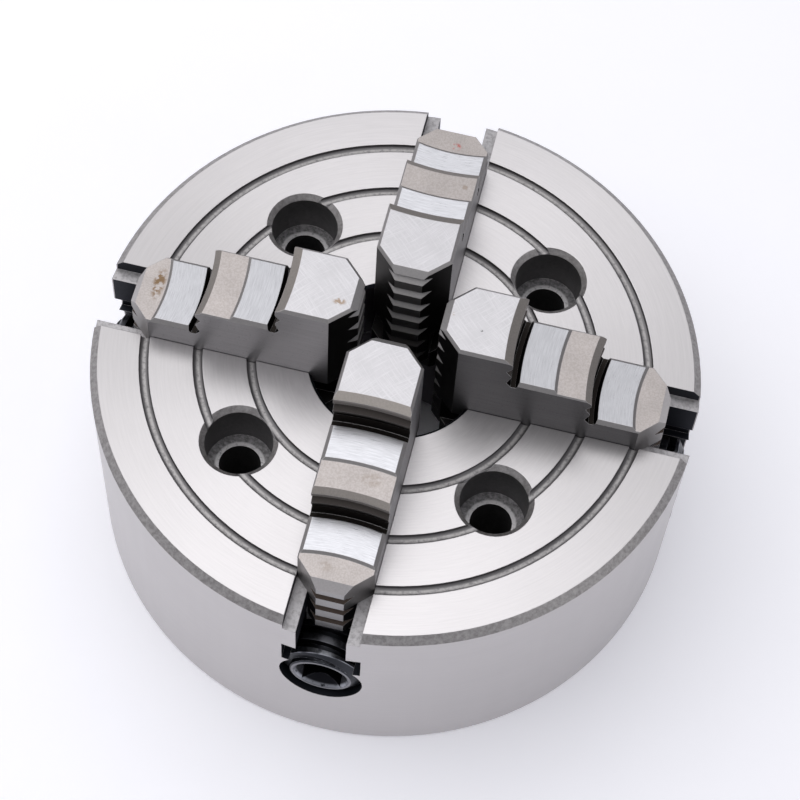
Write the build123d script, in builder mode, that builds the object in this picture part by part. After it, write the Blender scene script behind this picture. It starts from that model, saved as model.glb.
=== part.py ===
from build123d import *
import math
import os

# Four-jaw independent lathe chuck. Millimetres; +Z is the way the jaws point, z = 0 is the back face,
# and the jaws stand on +X, +Y, -X and -Y. A jaw is drawn on +X and then turned to its slot.

# Body: an iron disc with an outside diameter of 160 mm, for M10 bolts fitted from the front.
BODY_R = 80.0
BODY_H = 67.0
RIM_CHAMFER = 2.0
BACK_CHAMFER = 1.2
BORE_R = 22.5
BORE_RELIEF_R = 22.75
BORE_RELIEF_Z = 43.2
REGISTER_R = 32.5
REGISTER_DEPTH = 5.0
EDGE_BREAK = 0.8
BOLT_CIRCLE_R = 47.5
BOLT_HOLE_R = 5.5
COUNTERBORE_R = 8.85
COUNTERBORE_DEPTH = 13.8
COUNTERBORE_CHAMFER = 1.4
FACE_GROOVE_RS = (38.0, 52.0, 66.0)
FACE_GROOVE_W = 2.5
FACE_GROOVE_DEPTH = 1.3

# Slot for one jaw, from the face down: open channel, narrow neck, T notch, round screw pocket.
CHANNEL_HALF_W = 10.0
CHANNEL_DEPTH = 4.0
NECK_HALF_W = 6.5
NOTCH_HALF_W = 10.3
NOTCH_TOP = 14.2
NOTCH_BOTTOM = 23.3
SCREW_DEPTH = 30.5
POCKET_R = 11.0
POCKET_START = 27.0
SCREW_Z = BODY_H - SCREW_DEPTH

# Operating screw: left-hand thread to its outer end, so a key turned clockwise closes its jaw.
PITCH = 4.0
SCREW_R = 10.5
ROOT_R = 8.4
CREST_W = 1.9
FLANK = 0.25
THREAD_PLAY = 0.15
THREAD_BURIED = 0.4
THREAD_PHASE = 25.0
SCREW_IN = 27.6
SCREW_OUT = 79.1
NECK_R = 6.0
NECK_MID = 51.0
NECK_LEN = 10.2
END_CHAMFER_START = 77.3
END_R = 7.9
SOCKET_W = 10.2
SOCKET_DEPTH = 14.0
COUNTERSINK_R = 7.4
COUNTERSINK_BOTTOM_R = 4.9
COUNTERSINK_DEPTH = 3.3

# Thrust block: round plug from the back, with a fork that takes the screw's neck.
PLUG_R = 9.0
PLUG_PRESS = 0.01
PLUG_SUNK = 0.4
PLUG_TOP = 25.3
FORK_LEN = 10.0
BEARING_PLAY = 0.05

# Jaw, measured outwards from the chuck's axis and upwards from the body's face.
JAW_HALF_W = 9.9
JAW_NOSE = 9.95
JAW_TAIL = 70.8
END_HALF_W = 3.6
SLIDE_PLAY = 0.15
TOP_1 = 28.5
TOP_2 = 18.55
TOP_3 = 8.75
PAD_RISE = 0.6
EDGE_1 = 27.25
EDGE_2 = 48.7
PAD_2_END = 40.75
PAD_3_END = 61.75
RISER_1 = 29.45
RISER_2 = 50.4
RISER_CHAMFER_H = 1.05
RISER_GRIP_HEIGHTS = (7.0, 5.1, 3.2)
RISER_GRIP_DEPTH = 1.3
RISER_LAND_BOTTOM = 2.5
RISER_RELIEF_IN = 1.0
RISER_RELIEF_SUNK = 0.3
UNDERCUT_START = 0.2
UNDERCUT_END = 1.5
UNDERCUT_MOUTH = 2.4
UNDERCUT_SUNK = 1.9
PAD_STEP_W = 0.75
STEP_CENTRE = 105.0
NOSE_CHAMFER = (2.0, 1.7)
TAIL_CHAMFER = (1.85, 3.1)
TOP_SIDE_CHAMFER = 0.75
PAD_SIDE_CHAMFER = 0.95
PAD_CHAMFER_STARTS = (30.55, 51.9)
GRIP_H = 3.0
GRIP_DEPTH = 2.2
NOSE_GRIPS = (25.6, 6.3, 7)
TAIL_GRIPS = (1.2, 6.8, 3)
COLUMN_BOTTOM = 17.1
FOOT_SETBACK = 3.0
FOOT_BOTTOM = 23.1

# Where each jaw stands at rest, as a distance moved out from the drawn position: +X, +Y, -X, -Y.
JAW_OFFSETS = (0.9, -1.2, 0.0, 0.2)
SLOT_ANGLES = (0, 90, 180, 270)
FAR = 200.0


def slot_plane(angle, distance=0.0):
    """Plane facing outwards along a slot: local x runs across the slot and local y runs up."""
    out = Vector(math.cos(math.radians(angle)), math.sin(math.radians(angle)), 0)
    across = Vector(-out.Y, out.X, 0)
    return Plane(origin=out * distance, x_dir=across, z_dir=out)


def thread_ridge(crest_r, crest_w, start, end):
    """Left-hand thread about the screw's axis; crests stand above the axis at start and each pitch on."""
    foot_r = ROOT_R - THREAD_BURIED
    foot_w = crest_w + 2 * FLANK
    with BuildLine() as path:
        Helix(
            pitch=PITCH,
            height=end - start,
            radius=(foot_r + crest_r) / 2,
            center=(start, 0, SCREW_Z),
            direction=(1, 0, 0),
            lefthand=True,
        )
    with BuildPart() as ridge:
        with BuildSketch(Plane(origin=(start, 0, SCREW_Z), x_dir=(1, 0, 0), z_dir=(0, -1, 0))):
            Polygon(
                (-foot_w / 2, foot_r),
                (foot_w / 2, foot_r),
                (crest_w / 2, crest_r),
                (-crest_w / 2, crest_r),
                align=None,
            )
        sweep(path=path.wires()[0], is_frenet=True)
    return ridge.part


def screw_core(radius, start, end):
    """Round bar on the screw's axis."""
    bar = Cylinder(radius, end - start, align=(Align.CENTER, Align.CENTER, Align.MIN))
    return Pos(start, 0, SCREW_Z) * Rot(0, 90, 45) * bar


def thread_stretch(start, end):
    """The screw's thread between two places along its axis, cut off square."""
    ridge = thread_ridge(SCREW_R, CREST_W, THREAD_PHASE - 2 * PITCH, THREAD_PHASE + 14 * PITCH)
    keep = Pos((start + end) / 2, 0, SCREW_Z) * Box(end - start, 3 * SCREW_R, 3 * SCREW_R)
    return ridge & keep


# The body is turned and bored first, and its face grooves come last, so they run into the counterbores.
with BuildPart() as chuck_body:
    Cylinder(BODY_R, BODY_H, align=(Align.CENTER, Align.CENTER, Align.MIN))
    chamfer(chuck_body.edges().sort_by(Axis.Z)[-1], length=RIM_CHAMFER)
    chamfer(chuck_body.edges().sort_by(Axis.Z)[0], length=BACK_CHAMFER)
    with BuildSketch(Plane.XY):
        Circle(BORE_R)
    extrude(amount=BODY_H, mode=Mode.SUBTRACT)
    with BuildSketch(Plane.XY.offset(BORE_RELIEF_Z)):
        Circle(BORE_RELIEF_R)
    extrude(amount=BODY_H - BORE_RELIEF_Z, mode=Mode.SUBTRACT)
    with BuildSketch(Plane.XY):
        Circle(REGISTER_R)
    extrude(amount=REGISTER_DEPTH, mode=Mode.SUBTRACT)
    round_edges = chuck_body.edges().filter_by(GeomType.CIRCLE)
    bore_edges = round_edges.filter_by(lambda e: abs(e.radius - BORE_R) < 0.5).group_by(Axis.Z)
    chamfer(bore_edges[0] + bore_edges[-1], length=EDGE_BREAK)
    round_edges = chuck_body.edges().filter_by(GeomType.CIRCLE)
    mouth = round_edges.filter_by(lambda e: abs(e.radius - REGISTER_R) < 0.01).sort_by(Axis.Z)[0]
    chamfer(mouth, length=EDGE_BREAK)
    with Locations(Plane.XY.offset(BODY_H)):
        with PolarLocations(BOLT_CIRCLE_R, 4, start_angle=45):
            CounterBoreHole(BOLT_HOLE_R, COUNTERBORE_R, COUNTERBORE_DEPTH)
    round_edges = chuck_body.edges().filter_by(GeomType.CIRCLE)
    mouths = round_edges.filter_by(lambda e: abs(e.radius - COUNTERBORE_R) < 0.01).group_by(Axis.Z)[-1]
    chamfer(mouths, length=COUNTERBORE_CHAMFER)
    backs = round_edges.filter_by(lambda e: abs(e.radius - BOLT_HOLE_R) < 0.01).group_by(Axis.Z)[0]
    chamfer(backs, length=EDGE_BREAK)
    for angle in SLOT_ANGLES:
        with BuildSketch(slot_plane(angle)):
            with Locations((0, BODY_H)):
                Rectangle(2 * CHANNEL_HALF_W, 2 * CHANNEL_DEPTH)
            with Locations((0, BODY_H - NOTCH_BOTTOM)):
                Rectangle(2 * NECK_HALF_W, NOTCH_BOTTOM, align=(Align.CENTER, Align.MIN))
                Rectangle(2 * NOTCH_HALF_W, NOTCH_BOTTOM - NOTCH_TOP, align=(Align.CENTER, Align.MIN))
        extrude(amount=FAR, mode=Mode.SUBTRACT)
        with BuildSketch(slot_plane(angle, POCKET_START)):
            with Locations((0, SCREW_Z)):
                Circle(POCKET_R)
        extrude(amount=FAR, mode=Mode.SUBTRACT)
    with BuildSketch(Plane.XY):
        with PolarLocations(NECK_MID, 4):
            Circle(PLUG_R)
    extrude(amount=SCREW_Z, mode=Mode.SUBTRACT)
    with BuildSketch(Plane.XZ):
        for groove_r in FACE_GROOVE_RS:
            with Locations((groove_r, BODY_H)):
                Rectangle(FACE_GROOVE_W, 2 * (FACE_GROOVE_DEPTH - FACE_GROOVE_W / 4))
                with Locations((0, FACE_GROOVE_W / 4 - FACE_GROOVE_DEPTH)):
                    Ellipse(FACE_GROOVE_W / 2, FACE_GROOVE_W / 4)
    revolve(axis=Axis.Z, mode=Mode.SUBTRACT)

# One screw, on +X: turned bar, thread standing on the core on both sides of the neck, end chamfer, socket.
NECK_START = NECK_MID - NECK_LEN / 2
NECK_END = NECK_MID + NECK_LEN / 2
inner_thread = thread_stretch(SCREW_IN, NECK_START)
outer_thread = thread_stretch(NECK_END, SCREW_OUT)
with BuildPart() as screw:
    with BuildSketch(Plane.XZ):
        Polygon(
            (SCREW_IN, SCREW_Z),
            (SCREW_IN, SCREW_Z + ROOT_R),
            (NECK_START, SCREW_Z + ROOT_R),
            (NECK_START, SCREW_Z + NECK_R),
            (NECK_END, SCREW_Z + NECK_R),
            (NECK_END, SCREW_Z + ROOT_R),
            (SCREW_OUT, SCREW_Z + ROOT_R),
            (SCREW_OUT, SCREW_Z),
            align=None,
        )
    revolve(axis=Axis((0, 0, SCREW_Z), (1, 0, 0)))
    add(inner_thread)
    add(outer_thread)
    with BuildSketch(Plane.XZ):
        Polygon(
            (END_CHAMFER_START, SCREW_Z + SCREW_R),
            (SCREW_OUT, SCREW_Z + END_R),
            (SCREW_OUT + 1, SCREW_Z + END_R),
            (SCREW_OUT + 1, SCREW_Z + 2 * SCREW_R),
            (END_CHAMFER_START, SCREW_Z + 2 * SCREW_R),
            align=None,
        )
    revolve(axis=Axis((0, 0, SCREW_Z), (1, 0, 0)), mode=Mode.SUBTRACT)
    with BuildSketch(Plane.XZ):
        Polygon(
            (SCREW_OUT, SCREW_Z),
            (SCREW_OUT, SCREW_Z + COUNTERSINK_R),
            (SCREW_OUT - COUNTERSINK_DEPTH, SCREW_Z + COUNTERSINK_BOTTOM_R),
            (SCREW_OUT - COUNTERSINK_DEPTH, SCREW_Z),
            align=None,
        )
    revolve(axis=Axis((0, 0, SCREW_Z), (1, 0, 0)), mode=Mode.SUBTRACT)
    with BuildSketch(slot_plane(0, SCREW_OUT)):
        with Locations((0, SCREW_Z)):
            Rectangle(SOCKET_W, SOCKET_W)
    extrude(amount=-SOCKET_DEPTH, mode=Mode.SUBTRACT)

# One thrust block, under the neck of the screw on +X.
with BuildPart() as thrust_block:
    with BuildSketch(Plane.XY.offset(PLUG_SUNK)):
        with Locations((NECK_MID, 0)):
            Circle(PLUG_R + PLUG_PRESS)
    extrude(amount=SCREW_Z - PLUG_SUNK)
    chamfer(thrust_block.edges().sort_by(Axis.Z)[0], length=EDGE_BREAK)
    for side in (-1, 1):
        with BuildSketch(Plane.XY.offset(PLUG_TOP)):
            with Locations((NECK_MID + side * (FORK_LEN / 2 + PLUG_R / 2), 0)):
                Rectangle(PLUG_R, 3 * PLUG_R)
        extrude(amount=FAR, mode=Mode.SUBTRACT)
    with BuildSketch(slot_plane(0)):
        with Locations((0, SCREW_Z)):
            Circle(NECK_R + BEARING_PLAY)
    extrude(amount=FAR, mode=Mode.SUBTRACT)


def jaw_outline(half_width, set_back=0.0):
    """Corner points of a jaw seen from above: straight sides, with pointed ends at 45 degrees."""
    nose = JAW_NOSE + set_back
    tail = JAW_TAIL - set_back
    end_half = END_HALF_W + set_back
    slant = half_width - end_half
    near_side = [(nose, end_half), (nose + slant, half_width), (tail - slant, half_width), (tail, end_half)]
    return near_side + [(x, -y) for x, y in reversed(near_side)]


def riser_points(riser, foot):
    """Side view of one riser, top to bottom: grip groove, land, relief and the undercut at its foot."""
    top, middle, bottom = RISER_GRIP_HEIGHTS
    return [
        (riser, foot + top),
        (riser - RISER_GRIP_DEPTH, foot + middle),
        (riser, foot + bottom),
        (riser, foot + RISER_LAND_BOTTOM),
        (riser - RISER_RELIEF_IN, foot - RISER_RELIEF_SUNK),
        (riser + UNDERCUT_START, foot - UNDERCUT_SUNK),
        (riser + UNDERCUT_END, foot - UNDERCUT_SUNK),
        (riser + UNDERCUT_MOUTH, foot),
    ]


def step_profile():
    """Side view of what the turning tool takes off above the steps, in the XZ plane."""
    low_2 = TOP_2 - PAD_RISE
    low_3 = TOP_3 - PAD_RISE
    points = [(EDGE_1, TOP_1 + 1), (EDGE_1, TOP_1), (RISER_1, TOP_1 - RISER_CHAMFER_H)]
    points += riser_points(RISER_1, TOP_2)
    points += [(PAD_2_END, TOP_2), (PAD_2_END + PAD_STEP_W, low_2)]
    points += [(EDGE_2, low_2), (RISER_2, low_2 - RISER_CHAMFER_H)]
    points += riser_points(RISER_2, TOP_3)
    points += [(PAD_3_END, TOP_3), (PAD_3_END + PAD_STEP_W, low_3)]
    points += [(STEP_CENTRE, low_3), (STEP_CENTRE, TOP_1 + 1)]
    return [(x, BODY_H + z) for x, z in points]


# The tap for the half nuts is the screw's own thread with play all round.
tap_start = THREAD_PHASE - 5 * PITCH
tap_end = THREAD_PHASE + 16 * PITCH
tap_ridge = thread_ridge(SCREW_R + THREAD_PLAY, CREST_W + 2 * THREAD_PLAY, tap_start, tap_end)
tap = screw_core(ROOT_R + FLANK, 0, FAR / 2) + tap_ridge


def make_jaw(offset):
    """A jaw drawn on +X with its nose at JAW_NOSE; its half nut suits a screw that lies offset further in."""
    shoulder = BODY_H - CHANNEL_DEPTH + SLIDE_PLAY
    foot_top = BODY_H - NOTCH_TOP - SLIDE_PLAY
    with BuildPart() as jaw:
        # Blank, and the chamfers round its high end.
        with BuildSketch(Plane.XY.offset(shoulder)):
            Polygon(*jaw_outline(JAW_HALF_W), align=None)
        extrude(amount=BODY_H + TOP_1 - shoulder)
        top_edges = jaw.edges().group_by(Axis.Z)[-1].sort_by(Axis.X)
        chamfer(top_edges[1:-1], length=TOP_SIDE_CHAMFER)
        # The steps are turned about a centre beyond the tail, so every step edge is an arc about it.
        with BuildSketch(Plane.XZ):
            Polygon(*step_profile(), align=None)
        revolve(axis=Axis((STEP_CENTRE, 0, 0), (0, 0, 1)), mode=Mode.SUBTRACT)
        for start, top in zip(PAD_CHAMFER_STARTS, (TOP_2, TOP_3)):
            for side in (-1, 1):
                edge = side * (JAW_HALF_W - PAD_SIDE_CHAMFER)
                with BuildSketch(slot_plane(0, start)):
                    Polygon(
                        (edge - side, BODY_H + top + 1),
                        (edge + side, BODY_H + top - 1),
                        (edge + side, BODY_H + top + 1),
                        align=None,
                    )
                extrude(amount=FAR, mode=Mode.SUBTRACT)
        # Bevels over the nose and the tail, and the level grip grooves under them.
        for tip, inward, top, bevel in (
            (JAW_NOSE, 1, TOP_1, NOSE_CHAMFER),
            (JAW_TAIL, -1, TOP_3 - PAD_RISE, TAIL_CHAMFER),
        ):
            with BuildSketch(Plane.XZ):
                Polygon(
                    (tip - inward, BODY_H + top - bevel[1] * (1 + 1 / bevel[0])),
                    (tip + inward * 2 * bevel[0], BODY_H + top + bevel[1]),
                    (tip - inward, BODY_H + top + bevel[1]),
                    align=None,
                )
            extrude(amount=FAR, both=True, mode=Mode.SUBTRACT)
        with BuildSketch(Plane.XY.offset(BODY_H - COLUMN_BOTTOM)):
            Polygon(*jaw_outline(NECK_HALF_W - SLIDE_PLAY), align=None)
        extrude(amount=shoulder - BODY_H + COLUMN_BOTTOM)
        for tip, inward, (first, step, count) in ((JAW_NOSE, 1, NOSE_GRIPS), (JAW_TAIL, -1, TAIL_GRIPS)):
            with BuildSketch(Plane.XZ):
                for index in range(count):
                    with Locations((tip, BODY_H + first - index * step)):
                        Polygon((0, GRIP_H / 2), (inward * GRIP_DEPTH, 0), (0, -GRIP_H / 2), align=None)
            extrude(amount=FAR, both=True, mode=Mode.SUBTRACT)
        # T foot, and the half nut along its underside.
        with BuildSketch(Plane.XY.offset(BODY_H - FOOT_BOTTOM)):
            Polygon(*jaw_outline(NOTCH_HALF_W - SLIDE_PLAY, FOOT_SETBACK), align=None)
        extrude(amount=foot_top - BODY_H + FOOT_BOTTOM)
        add(Pos(-offset, 0, 0) * tap, mode=Mode.SUBTRACT)
    return jaw.part


def export(shape, name):
    """Label one finished piece and write it."""
    shape.label = name
    export_step(shape, f"parts/{name}.step")


os.makedirs("parts", exist_ok=True)
export(chuck_body.part, "chuck_body")
for number, (angle, offset) in enumerate(zip(SLOT_ANGLES, JAW_OFFSETS), start=1):
    turn = Rot(0, 0, angle)
    export(turn * Pos(offset, 0, 0) * make_jaw(offset), f"jaw_{number}")
    export(turn * screw.part, f"jaw_screw_{number}")
    export(turn * thrust_block.part, f"thrust_block_{number}")
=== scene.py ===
"""A four-jaw independent lathe chuck, 160 mm across, on its back on a pale table in soft studio light."""

import math

import bpy
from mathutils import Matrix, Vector


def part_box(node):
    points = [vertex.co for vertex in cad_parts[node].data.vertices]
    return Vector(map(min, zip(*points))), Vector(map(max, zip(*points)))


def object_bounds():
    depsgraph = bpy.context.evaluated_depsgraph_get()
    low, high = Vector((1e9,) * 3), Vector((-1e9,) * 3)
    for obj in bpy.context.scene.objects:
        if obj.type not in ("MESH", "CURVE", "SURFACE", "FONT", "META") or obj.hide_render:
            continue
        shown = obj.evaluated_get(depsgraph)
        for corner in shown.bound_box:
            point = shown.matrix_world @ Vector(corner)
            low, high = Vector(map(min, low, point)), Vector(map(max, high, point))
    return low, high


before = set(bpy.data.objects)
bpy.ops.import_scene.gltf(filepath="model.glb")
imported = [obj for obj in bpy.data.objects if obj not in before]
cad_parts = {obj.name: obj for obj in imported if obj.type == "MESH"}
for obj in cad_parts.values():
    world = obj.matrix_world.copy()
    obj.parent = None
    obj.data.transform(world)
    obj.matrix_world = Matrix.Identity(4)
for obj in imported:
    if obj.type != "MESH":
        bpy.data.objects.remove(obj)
cad_low, cad_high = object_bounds()

# Chuck body. A disc of grey cast iron, turned and ground bright on its face and rim, with three gauge grooves
# on the face, four bored bolt seats, and four T slots whose inside is coloured near black.
MM = 0.001
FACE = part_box("chuck_body")[1].z
BODY_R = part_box("chuck_body")[1].x
GROOVES = (38 * MM, 52 * MM, 66 * MM)
GROOVE_HALF = 1.25 * MM
GROOVE_BAND = 1.5 * MM
RIM_BREAK = 2 * MM
BOLT_CIRCLE_R = 47.5 * MM
SEAT_R = 10.3 * MM
SHOULDER_DROP = 4 * MM
INSIDE_R = 34 * MM


class Socket:
    """One output of a shader node. Arithmetic signs written on it add Math nodes to its material."""

    def __init__(self, finish, socket):
        self.finish = finish
        self.socket = socket

    def math(self, operation, *values):
        return self.finish.node("Math", dict(enumerate(values)), operation=operation)

    def __add__(self, other):
        return self.math("ADD", self, other)

    def __radd__(self, other):
        return self.math("ADD", other, self)

    def __sub__(self, other):
        return self.math("SUBTRACT", self, other)

    def __rsub__(self, other):
        return self.math("SUBTRACT", other, self)

    def __mul__(self, other):
        return self.math("MULTIPLY", self, other)

    def __rmul__(self, other):
        return self.math("MULTIPLY", other, self)

    def __truediv__(self, other):
        return self.math("DIVIDE", self, other)

    def __abs__(self):
        return self.math("ABSOLUTE", self)

    def __gt__(self, other):
        return self.math("GREATER_THAN", self, other)

    def __lt__(self, other):
        return self.math("LESS_THAN", self, other)

    def power(self, exponent):
        return self.math("POWER", self, exponent)

    def rise(self, low, high):
        """0 below low and 1 above high, with a smooth step between; low may be the higher of the two."""
        return self.finish.node("MapRange", {0: self, 1: low, 2: high}, interpolation_type="SMOOTHSTEP")


class Finish:
    """A finish being wired on one Principled shader, with its place, its normal and its edges at hand."""

    def __init__(self, name):
        self.material = bpy.data.materials.new(name)
        self.material.use_nodes = True
        self.tree = self.material.node_tree
        self.place = self.node("TexCoord", output="Object")
        self.facing = self.node("TexCoord", output="Normal")
        self.bevel = None

    def node(self, kind, inputs=None, output=0, stops=None, **settings):
        """Any node: its settings first, then its sockets' values or links, and one of its outputs back."""
        made = self.tree.nodes.new("ShaderNode" + kind)
        for name, value in settings.items():
            setattr(made, name, value)
        if stops:
            ramp = made.color_ramp
            for position, colour in stops[2:]:
                ramp.elements.new(position)
            for element, (position, colour) in zip(ramp.elements, stops):
                element.position = position
                element.color = colour
        for key, value in (inputs or {}).items():
            if isinstance(value, Socket):
                self.tree.links.new(value.socket, made.inputs[key])
            else:
                made.inputs[key].default_value = value
        return Socket(self, made.outputs[output])

    def split(self, vector):
        """The three parts of a vector."""
        return [self.node("SeparateXYZ", {0: vector}, output=axis) for axis in range(3)]

    def noise(self, vector, scale, detail=2.0, rough=0.5):
        """A number from 0 to 1, mostly near a half, that changes smoothly from place to place."""
        return self.node("TexNoise", {"Vector": vector, "Scale": scale, "Detail": detail, "Roughness": rough})

    def turned(self, vector, angle):
        """A vector turned about the chuck's axis."""
        inputs = {"Vector": vector, "Axis": (0, 0, 1), "Angle": angle}
        return self.node("VectorRotate", inputs, rotation_type="AXIS_ANGLE")

    def blend(self, mask, under, over):
        """The colour under where mask is 0, and over where it is 1."""
        return self.node("Mix", {0: mask, 6: under, 7: over}, 2, data_type="RGBA")

    def lerp(self, mask, under, over):
        """The number under where mask is 0, and over where it is 1."""
        return self.node("Mix", {0: mask, 2: under, 3: over}, 0, data_type="FLOAT")

    def tint(self, colour, gain):
        """A colour made lighter or darker by a number."""
        plain = colour if isinstance(colour, Socket) else colour[:3]
        return self.node("VectorMath", {0: plain, "Scale": gain}, operation="SCALE")

    def rounded(self, radius):
        """The normal with every edge rounded over, and a mask of how far an edge has turned it."""
        self.bevel = self.node("Bevel", {"Radius": radius}, samples=6)
        true = self.node("NewGeometry", output="Normal")
        match = self.node("VectorMath", {0: self.bevel, 1: true}, "Value", operation="DOT_PRODUCT")
        return (1 - match).rise(0.004, 0.12)

    def close(self, colour, rough, relief, metal=1.0):
        """Feeds the shader. The relief, in hundredths of a millimetre, turns the rounded normal."""
        inputs = {"Height": relief, "Distance": 0.01 * MM, "Strength": 1.0}
        if self.bevel:
            inputs["Normal"] = self.bevel
        bump = self.node("Bump", inputs)
        shader = self.tree.nodes["Principled BSDF"]
        fed = {"Base Color": colour, "Roughness": rough, "Metallic": metal, "Normal": bump}
        for key, value in fed.items():
            if isinstance(value, Socket):
                self.tree.links.new(value.socket, shader.inputs[key])
            else:
                shader.inputs[key].default_value = value
        return self.material


def put_on(node, material):
    """Gives a node of the frame one material, over all of its faces."""
    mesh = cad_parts[node].data
    mesh.materials.clear()
    mesh.materials.append(material)


GROUND_IRON = (0.575, 0.555, 0.56, 1)
TURNED_IRON = (0.535, 0.515, 0.515, 1)
BREAK_LIGHT = (0.48, 0.46, 0.455, 1)
BREAK_DARK = (0.30, 0.285, 0.28, 1)
SHOULDER_LIGHT = (0.50, 0.485, 0.495, 1)
SHOULDER_DARK = (0.30, 0.29, 0.295, 1)
GROOVE_WALL_SHADE = (0.20, 0.192, 0.195, 1)
GROOVE_FLOOR_HIGHLIGHT = (0.46, 0.445, 0.44, 1)
SEAT_LIGHT = (0.36, 0.35, 0.355, 1)
SEAT_DARK = (0.15, 0.145, 0.15, 1)
SEAT_RING = (0.58, 0.565, 0.57, 1)
BORE_GREY = (0.13, 0.12, 0.135, 1)
NEAR_BLACK_INSIDE = (0.028, 0.030, 0.038, 1)


def body_finish():
    """Regions by height and radius: face, rim, grooves, broken edges, slot shoulders, bolt seats, insides."""
    f = Finish("ground_iron")
    x, y, z = f.split(f.place)
    up = f.split(f.facing)[2]
    flat = f.node("VectorMath", {0: f.place, 1: (1, 1, 0)}, operation="MULTIPLY")
    radius = f.node("VectorMath", {0: flat}, "Value", operation="LENGTH")
    round_x, round_y, _ = f.split(f.node("VectorMath", {0: flat}, operation="NORMALIZE"))

    # Tool marks run round the axis: the noise is drawn out along the angle.
    ring = f.node("CombineXYZ", {0: radius * 2400, 1: round_x * 7, 2: round_y * 7})
    streak = f.noise(ring, 1.0, detail=3.0, rough=0.6)
    fine_ring = f.node("CombineXYZ", {0: radius * 5200, 1: round_x * 22, 2: round_y * 22})
    scratch = f.noise(fine_ring, 1.0, detail=2.0).rise(0.62, 0.8)
    lathe = f.node("CombineXYZ", {0: z * 3800, 1: round_x * 3, 2: round_y * 3})
    turning = f.noise(lathe, 1.0, detail=3.0, rough=0.6)
    cloud = f.noise(f.place, 38, detail=3.0)
    mottle = f.noise(f.place, 900, detail=4.0, rough=0.7)
    speck = f.noise(f.place, 2300, detail=1.0).rise(0.68, 0.74)
    edge = f.rounded(0.22 * MM)

    on_face = z > FACE - 0.04 * MM
    on_side = (radius > BODY_R - 0.3 * MM) * (abs(up) < 0.3)
    under_face = (z > FACE - GROOVE_BAND) * (1 - on_face)
    to_groove = abs(radius - GROOVES[0])
    for groove_r in GROOVES[1:]:
        to_groove = to_groove.math("MINIMUM", to_groove, abs(radius - groove_r))
    in_groove = (to_groove < GROOVE_HALF + 0.03 * MM) * under_face

    # Bolt seats stand at 45 degrees, so folding x and y over puts all four on one place.
    fold_x = abs(x) - BOLT_CIRCLE_R * math.sqrt(0.5)
    fold_y = abs(y) - BOLT_CIRCLE_R * math.sqrt(0.5)
    to_bolt = (fold_x * fold_x + fold_y * fold_y).power(0.5)
    at_bolt = to_bolt < SEAT_R + 0.05 * MM
    seat_lip = at_bolt * under_face
    seat_floor = at_bolt * (up > 0.9) * (z < FACE - 5 * MM)
    shoulder = (up > 0.9) * (z < FACE - SHOULDER_DROP + 0.3 * MM) * (z > FACE - SHOULDER_DROP - 0.3 * MM)
    rim_break = (radius > BODY_R - RIM_BREAK) * (up > 0.3) * (1 - on_face) * (z > FACE - RIM_BREAK - 0.1 * MM)
    back = up < -0.5
    bore = (radius < INSIDE_R) * (abs(up) < 0.8) * (z < FACE - 1 * MM)

    patch = f.blend(mottle.rise(0.3, 0.7), BREAK_DARK, BREAK_LIGHT)
    ledge = f.blend(mottle.rise(0.3, 0.6), SHOULDER_DARK, SHOULDER_LIGHT)
    seat = f.blend(mottle.rise(0.32, 0.7), SEAT_DARK, SEAT_LIGHT)
    seat = f.blend(to_bolt.rise(6.9 * MM, 6.3 * MM) * mottle.rise(0.25, 0.5), seat, SEAT_RING)
    # Painted shade and highlight: each groove is darkened along its walls and lightened along its floor, with
    # mottle, for the shade on its walls and the light caught by its rounded floor.
    groove = f.blend(to_groove.rise(0.75 * MM, 0.2 * MM) * mottle.rise(0.25, 0.6), GROOVE_WALL_SHADE, GROOVE_FLOOR_HIGHLIGHT)
    # Painted reflection: the face's colour is darkened on the left and right, where a turned face looks
    # darker because its marks run towards the eye.
    painted_turning_sheen = 1.05 - 0.27 * round_x.power(4) + 0.05 * round_x
    ground = f.tint(GROUND_IRON, (0.84 + 0.24 * streak + 0.10 * cloud - 0.25 * speck * scratch) * painted_turning_sheen)
    turned = f.tint(TURNED_IRON, 0.90 + 0.12 * turning + 0.08 * cloud)

    # The slots' insides and the other inner faces are coloured near black, and the bore wall dark grey.
    colour = f.blend(bore, NEAR_BLACK_INSIDE, BORE_GREY)
    seat_wall = at_bolt * (abs(up) < 0.5)
    colour = f.blend(seat_wall, colour, f.tint(SEAT_LIGHT, 0.3 + 0.4 * mottle))
    colour = f.blend(shoulder, colour, ledge)
    colour = f.blend(seat_floor, colour, seat)
    colour = f.blend(seat_lip, colour, patch)
    colour = f.blend(in_groove, colour, groove)
    colour = f.blend(rim_break, colour, patch)
    colour = f.blend(back, colour, turned)
    colour = f.blend(on_side, colour, turned)
    colour = f.blend(on_face, colour, ground)
    worn = edge * mottle.rise(0.3, 0.55)
    colour = f.blend(worn * (1 - on_face) * 0.7, colour, GROUND_IRON)

    bright = on_face.math("MAXIMUM", on_face, on_side)
    rough = f.lerp(bright, 0.48 + 0.14 * mottle, 0.33 + 0.10 * streak)
    relief = f.lerp(on_face, mottle * 1.2, streak * 1.3 - scratch * 0.6)
    relief = f.lerp(on_side, relief, turning * 0.9)
    return f.close(colour, rough, relief)


put_on("chuck_body", body_finish())

# Thrust blocks. Four turned steel plugs pressed in from the back, each with a fork that holds a screw's neck.
# They are blued, and only their round ends show, on the back.
BLUED = (0.082, 0.0928, 0.10, 1)


def block_finish():
    """Blued steel with end-turning rings and a bright rubbed edge."""
    f = Finish("blued_steel")
    mottle = f.noise(f.place, 1100, detail=4.0, rough=0.7)
    cloud = f.noise(f.place, 160, detail=2.0)
    edge = f.rounded(0.25 * MM)
    colour = f.tint(BLUED, 0.7 + 0.9 * cloud)
    colour = f.blend(edge * mottle.rise(0.3, 0.6), colour, TURNED_IRON)
    return f.close(colour, 0.38 + 0.2 * mottle, mottle)


blued_steel = block_finish()
for number in range(1, 5):
    put_on(f"thrust_block_{number}", blued_steel)

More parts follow.
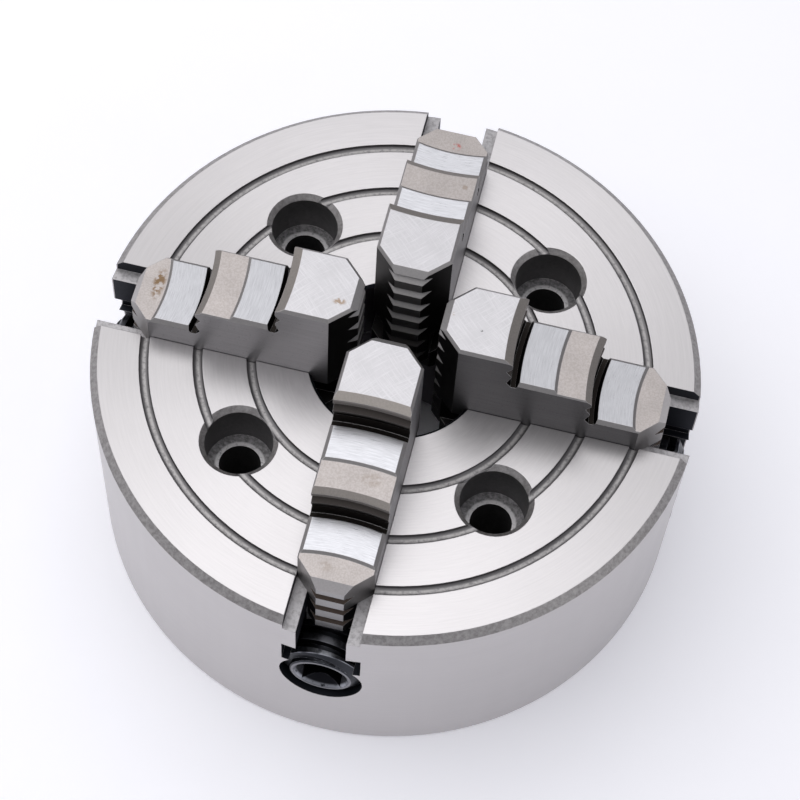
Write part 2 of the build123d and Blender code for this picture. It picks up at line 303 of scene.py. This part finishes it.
# Operating screws. Case-hardened steel with a left-hand thread, blacked all over in oil. Turning keys have
# rubbed the mouth of each square socket bright, and the thread's crests are rubbed where they show.
BLACKED = (0.045, 0.047, 0.054, 1)
RUBBED = (0.42, 0.43, 0.47, 1)
END_STEEL = (0.21, 0.21, 0.225, 1)
SOCKET_SHADE = (0.014, 0.014, 0.017, 1)
SCREW_Z = (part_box("jaw_screw_1")[0].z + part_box("jaw_screw_1")[1].z) / 2
SCREW_R = (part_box("jaw_screw_1")[1].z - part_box("jaw_screw_1")[0].z) / 2
SCREW_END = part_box("jaw_screw_1")[1].x
SOCKET_REACH = 7.3 * MM


def screw_finish(number):
    """Black oxide, worn by distance from the screw's axis and by the nearness of its outer end."""
    f = Finish(f"blacked_steel_{number}")
    turn = math.radians(90 * (number - 1))
    local = f.turned(f.place, -turn)
    along, across, high = f.split(local)
    from_axis = (across * across + (high - SCREW_Z) * (high - SCREW_Z)).power(0.5)
    mottle = f.noise(local, 900, detail=3.0, rough=0.6)
    cloud = f.noise(local, 260, detail=3.0)
    edge = f.rounded(0.2 * MM)
    outer = along.rise(SCREW_END - 9 * MM, SCREW_END - 2 * MM)
    crest = from_axis.rise(SCREW_R - 0.25 * MM, SCREW_R - 0.05 * MM)
    end_face = along > SCREW_END - 0.1 * MM
    in_socket = from_axis.rise(SOCKET_REACH + 0.05 * MM, SOCKET_REACH - 0.05 * MM) * (1 - end_face)
    in_socket = in_socket * along.rise(SCREW_END - 16 * MM, SCREW_END - 13 * MM)
    ring = in_socket * along.rise(SCREW_END - 1.1 * MM, SCREW_END - 0.5 * MM)
    upper = high.rise(SCREW_Z + 2 * MM, SCREW_Z + 8 * MM)
    colour = f.tint(BLACKED, 0.8 + 0.4 * cloud)
    colour = f.blend(end_face, colour, f.tint(END_STEEL, 0.75 + 0.5 * cloud))
    # Painted shade: the inside of the square socket is coloured darker than the blacked steel around it.
    colour = f.blend(in_socket, colour, f.tint(SOCKET_SHADE, 0.7 + 0.6 * cloud))
    worn = edge * mottle.rise(0.42, 0.60) * (0.15 + 0.55 * outer) * (1 - 0.6 * in_socket)
    worn = worn.math("MAXIMUM", worn, crest * outer * upper * cloud.rise(0.35, 0.55) * 0.9)
    worn = worn.math("MAXIMUM", worn, ring * mottle.rise(0.25, 0.5) * 0.7)
    colour = f.blend(worn, colour, RUBBED)
    return f.close(colour, f.lerp(worn, 0.34 + 0.12 * mottle, 0.3), mottle * 0.5)


for number in range(1, 5):
    put_on(f"jaw_screw_{number}", screw_finish(number))

# Jaws. Forged steel, hardened and ground, one piece each with three steps and a half nut under its foot. The
# block's top is ground crosswise, the gripping pads are ground in arcs, and between them the steel keeps its
# hardening skin.
JAW_CENTRE = 105 * MM
NOMINAL_NOSE = 10 * MM
TOPS = (28.5 * MM, 18.55 * MM, 8.75 * MM)
PAD_RISE = 0.6 * MM
TOP_BAND = 0.15 * MM
NOSE_END = 20 * MM
TAIL_START = 66 * MM
BURIED_TOP = -4.2 * MM
STEP_ZONES = ((26.9 * MM, 32.3 * MM), (48.3 * MM, 53.2 * MM))
GROUND_STEEL = (0.50, 0.49, 0.505, 1)
PAD_STEEL = (0.535, 0.535, 0.56, 1)
SIDE_STEEL = (0.46, 0.45, 0.46, 1)
SKIN = (0.545, 0.505, 0.49, 1)
SKIN_DARK = (0.475, 0.432, 0.41, 1)
CHAMFERED = (0.34, 0.325, 0.32, 1)
NOSE_STEEL = (0.40, 0.385, 0.38, 1)
BLACK_STEEL = (0.028, 0.026, 0.026, 1)
TAIL_LAND = (0.44, 0.43, 0.43, 1)
TAIL_GROOVE = (0.085, 0.066, 0.055, 1)
TAIL_BEVEL = (0.46, 0.44, 0.43, 1)
WORN_EDGE = (0.62, 0.605, 0.605, 1)
STAIN = (0.24, 0.155, 0.085, 1)
LAYOUT_RED = (0.50, 0.10, 0.08, 1)
PIT = (0.03, 0.028, 0.028, 1)
RISER_STOPS = (
    (0.0, (0.022, 0.019, 0.017, 1)),
    (0.24, (0.028, 0.024, 0.022, 1)),
    (0.26, (0.17, 0.155, 0.145, 1)),
    (0.32, (0.13, 0.118, 0.11, 1)),
    (0.34, (0.105, 0.092, 0.083, 1)),
    (0.50, (0.045, 0.039, 0.035, 1)),
    (0.52, (0.022, 0.019, 0.018, 1)),
    (0.69, (0.045, 0.039, 0.035, 1)),
    (0.71, (0.20, 0.182, 0.168, 1)),
    (0.80, (0.215, 0.195, 0.18, 1)),
    (0.83, (0.30, 0.275, 0.255, 1)),
)


def jaw_finish(number, pad_painted_light, side_painted_light, skin_painted_light, marks):
    """Regions by height over the face and distance out from the nose, on a jaw turned to point along +X."""
    f = Finish(f"ground_steel_{number}")
    node_low, node_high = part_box(f"jaw_{number}")
    turn = 90 * (number - 1)
    out = Vector((math.cos(math.radians(turn)), math.sin(math.radians(turn)), 0))
    nose = min(abs(node_low.dot(out)), abs(node_high.dot(out)))
    local = f.turned(f.place, -math.radians(turn))
    local = f.node("VectorMath", {0: local, 1: (NOMINAL_NOSE - nose, 0, -FACE)}, operation="ADD")
    along, across, high = f.split(local)
    out_face, side_face, up = f.split(f.turned(f.facing, -math.radians(turn)))

    # Grinding marks run in arcs: two crossing sets on the block, and one about the steps' centre on the pads.
    def arcs(centre_x, centre_y, scale, run):
        offset = f.node("VectorMath", {0: local, 1: (-centre_x, -centre_y, 0)}, operation="ADD")
        offset = f.node("VectorMath", {0: offset, 1: (1, 1, 0)}, operation="MULTIPLY")
        distance = f.node("VectorMath", {0: offset}, "Value", operation="LENGTH")
        side_x, side_y, _ = f.split(f.node("VectorMath", {0: offset}, operation="NORMALIZE"))
        drawn = f.node("CombineXYZ", {0: distance * scale, 1: side_x * run, 2: side_y * run})
        return distance, f.noise(drawn, 1.0, detail=3.0, rough=0.65)

    cross = arcs(-14 * MM, 34 * MM, 3600, 7)[1]
    cross = cross.math("MAXIMUM", cross, arcs(60 * MM, 42 * MM, 3000, 9)[1])
    arc_r, arc = arcs(JAW_CENTRE, 0, 4200, 14)
    arc_along = JAW_CENTRE - arc_r
    lengthwise = f.node("VectorMath", {0: local, 1: (60, 1400, 1400)}, operation="MULTIPLY")
    side_marks = f.noise(lengthwise, 1.0, detail=3.0, rough=0.6)
    mottle = f.noise(local, 2100, detail=4.0, rough=0.65)
    cloud = f.noise(local, 140, detail=3.0)
    speck = f.noise(local, 2600, detail=1.0).rise(0.66, 0.74)
    edge = f.rounded(0.2 * MM)

    level = up > 0.985
    block = level * (high > TOPS[0] - 0.3 * MM)
    pad = level * ((abs(high - TOPS[1]) < TOP_BAND) + (abs(high - TOPS[2]) < TOP_BAND))
    under_pad = high + PAD_RISE
    skin = level * ((abs(under_pad - TOPS[1]) < TOP_BAND) + (abs(under_pad - TOPS[2]) < TOP_BAND))
    side = (abs(up) < 0.05) * (abs(side_face) > 0.95)
    first, second = [(arc_along > start) * (arc_along < end) for start, end in STEP_ZONES]
    riser = (first + second) * (1 - side) * (abs(side_face) < 0.6)
    over_foot = (high - f.lerp(second, TOPS[1], TOPS[2])) * 100
    nose_flat = (out_face < -0.5) * (abs(side_face) > 0.5)
    nose_grip = (out_face < -0.3) * (abs(side_face) < 0.3) * (along < NOSE_END)
    tail = (along > TAIL_START) * (abs(side_face) < 0.3)
    buried = (high < BURIED_TOP) * (1 - tail)

    colour = f.tint(CHAMFERED, 0.8 + 0.4 * mottle)
    # Painted light and shade: each jaw's sides, pads and skin are lightened or darkened by that jaw's own
    # gain, for how the light falls on it.
    side_look = f.tint(SIDE_STEEL, (0.80 + 0.3 * side_marks + 0.12 * cloud - 0.3 * speck) * side_painted_light)
    colour = f.blend(side, colour, side_look)
    riser_look = f.node("ValToRGB", {0: over_foot}, stops=RISER_STOPS)
    colour = f.blend(riser, colour, f.tint(riser_look, 0.75 + 0.5 * mottle))
    colour = f.blend(nose_flat, colour, f.tint(BLACK_STEEL, 0.7 + 0.6 * mottle))
    # Painted shade: the nose grip is darkened towards the bottom, down to black 18 mm under the face, for the
    # shade inside the bore.
    grip_painted_shade = f.tint(NOSE_STEEL, high.rise(-18 * MM, 32 * MM) * (0.8 + 0.4 * mottle))
    colour = f.blend(nose_grip, colour, grip_painted_shade)
    tail_look = f.blend(out_face > 0.95, TAIL_GROOVE, TAIL_LAND)
    tail_look = f.blend(high > 5 * MM, tail_look, TAIL_BEVEL)
    colour = f.blend(tail * (out_face > 0.3), colour, f.tint(tail_look, 0.8 + 0.4 * mottle))
    ground = cross.rise(0.46, 0.76)
    colour = f.blend(block, colour, f.tint(GROUND_STEEL, 0.86 + 0.20 * ground + 0.12 * cloud))
    pad_look = f.tint(PAD_STEEL, (0.78 + 0.26 * arc.rise(0.3, 0.75) + 0.14 * cloud) * pad_painted_light)
    colour = f.blend(pad, colour, pad_look)
    oxide = f.blend(mottle.rise(0.36, 0.66), SKIN, SKIN_DARK)
    colour = f.blend(skin, colour, f.tint(oxide, (0.86 + 0.3 * cloud) * skin_painted_light))
    colour = f.blend(buried, colour, f.tint(BLACK_STEEL, 0.6 + 0.9 * mottle))
    patches = f.noise(local, 700, detail=3.0, rough=0.6).rise(0.42, 0.58)
    for place_x, place_y, half_x, half_y, height, stain, strength in marks:
        gap_x = (along - place_x * MM) / (half_x * MM)
        gap_y = (across - place_y * MM) / (half_y * MM)
        near = (gap_x * gap_x + gap_y * gap_y).power(0.5).rise(1.0, 0.4) * (high > height * MM)
        colour = f.blend(near * f.lerp(1 - pad, 0.0, patches) * strength, colour, stain)
    colour = f.blend(edge * mottle.rise(0.2, 0.45) * (1 - nose_grip) * 0.8, colour, WORN_EDGE)

    rough = 0.42 + 0.12 * mottle
    rough = f.lerp(block, rough, 0.28 + 0.10 * cross)
    rough = f.lerp(pad, rough, 0.24 + 0.10 * arc)
    rough = f.lerp(skin, rough, 0.50 + 0.12 * mottle)
    relief = f.lerp(block, mottle * 0.9, cross * 3.2)
    relief = f.lerp(pad, relief, arc * 2.2)
    relief = f.lerp(skin, relief, mottle * 0.5)
    relief = f.lerp(side, relief, side_marks * 0.6)
    return f.close(colour, rough, relief)


# For each jaw: the gains of painted light and shade on its pads, sides and skin, for how the light falls on
# that jaw, then its marks. A mark has a place and a half size along and across the jaw, the height over the
# face that it lies above, its colour and how strong it is. Its lengths are in millimetres.
JAW_PAINTED_LIGHT_AND_MARKS = (
    (0.70, 0.34, 1.00, ((20.5, -2.6, 0.5, 0.4, 27, PIT, 1.0), (12.6, 0.5, 0.9, 0.7, 27, STAIN, 0.7))),
    (0.98, 0.85, 0.95, ((64.6, -1.0, 1.5, 1.6, 7, LAYOUT_RED, 0.8), (46.0, -7.0, 1.2, 1.0, 16, STAIN, 0.4))),
    (0.74, 0.92, 1.00, ((64.6, -1.5, 2.1, 6.0, 7, STAIN, 0.95), (15.2, 3.2, 2.2, 1.6, 27, STAIN, 0.8))),
    (1.00, 0.85, 1.05, ((44.5, 4.0, 2.4, 4.0, 16, STAIN, 0.25), (65.5, -2.0, 2.0, 3.0, 7, STAIN, 0.2))),
)
for number, painted_light_and_marks in enumerate(JAW_PAINTED_LIGHT_AND_MARKS, start=1):
    put_on(f"jaw_{number}", jaw_finish(number, *painted_light_and_marks))

# Table. A sheet of matt white board at the height of the chuck's back, large enough to fill the view from
# any side. It glows a little, for the light that boards and walls hand to and fro in a pale room.
TABLE_HALF = 4.0
WHITE = (0.93, 0.925, 0.965, 1)
BOARD_GLOW = 0.19
table_mesh = bpy.data.meshes.new("table")
corners = [(x * TABLE_HALF, y * TABLE_HALF, cad_low.z) for x, y in ((-1, -1), (1, -1), (1, 1), (-1, 1))]
table_mesh.from_pydata(corners, [], [(0, 1, 2, 3)])
table = bpy.data.objects.new("table", table_mesh)
bpy.context.scene.collection.objects.link(table)
board = Finish("white_board")
board_grain = board.noise(board.place, 60, detail=3.0)
board_colour = board.tint(WHITE, 0.99 + 0.02 * board_grain)
table_mesh.materials.append(board.close(board_colour, 0.7, board_grain, metal=0.0))

# The glow is left out under the chuck, so that none of it shows through the bore.
from_axis = board.node("VectorMath", {0: board.place}, "Value", operation="LENGTH")
board_shader = board.tree.nodes["Principled BSDF"]
glow = board.blend(from_axis.rise(BODY_R - 4 * MM, BODY_R), (0, 0, 0, 1), WHITE)
board.tree.links.new(glow.socket, board_shader.inputs["Emission Color"])
board_shader.inputs["Emission Strength"].default_value = BOARD_GLOW

# Light. One wide soft box overhead and to the left lights the ground faces. A weak fill on each side and the
# room's own pale light keep the shaded metal from going black.
ROOM_COLOUR = (0.93, 0.94, 1.0, 1)
ROOM_LIGHT = 0.44
scene = bpy.context.scene
scene.view_settings.view_transform = "Standard"
world = bpy.data.worlds.new("room")
scene.world = world
world.use_nodes = True
world.node_tree.nodes["Background"].inputs["Color"].default_value = ROOM_COLOUR
world.node_tree.nodes["Background"].inputs["Strength"].default_value = ROOM_LIGHT


def soft_box(name, place, target, size, brightness):
    """A square lamp that looks at a target; brightness is what its surface shows, whatever its size."""
    lamp = bpy.data.lights.new(name, "AREA")
    lamp.shape = "SQUARE"
    lamp.size = size
    lamp.energy = brightness * math.pi * size * size
    made = bpy.data.objects.new(name, lamp)
    made.location = place
    made.rotation_euler = (Vector(target) - Vector(place)).to_track_quat("-Z", "Y").to_euler()
    scene.collection.objects.link(made)


soft_box("overhead", place=(-0.49, 0.14, 1.15), target=(-0.49, 0.14, 0), size=1.5, brightness=1.45)
soft_box("left_fill", place=(-1.3, 0.2, 0.6), target=(0, 0, 0.05), size=0.8, brightness=0.35)
soft_box("right_fill", place=(1.3, -0.5, 0.6), target=(0.1, 0, 0.05), size=0.8, brightness=0.7)

# Camera. It stands above the front of the chuck and a little to the right, and it looks down at the face.
# It is turned slightly about its own line of sight.
LENS = 107.9
AZIMUTH = math.radians(9.6)
ELEVATION = math.radians(61.84)
DISTANCE = 620.9 * MM
ROLL = math.radians(4.472)
TARGET = Vector((3.64 * MM, -11.73 * MM, FACE))
level_out = math.cos(ELEVATION)
back_along = Vector((math.sin(AZIMUTH) * level_out, -math.cos(AZIMUTH) * level_out, math.sin(ELEVATION)))
camera = bpy.data.objects.new("camera", bpy.data.cameras.new("camera"))
camera.data.lens = LENS
camera.location = TARGET + back_along * DISTANCE
camera.rotation_mode = "QUATERNION"
camera.rotation_quaternion = (-back_along).to_track_quat("-Z", "Y")
camera.rotation_mode = "XYZ"
camera.rotation_euler.rotate_axis("Z", ROLL)
scene.collection.objects.link(camera)
scene.camera = camera
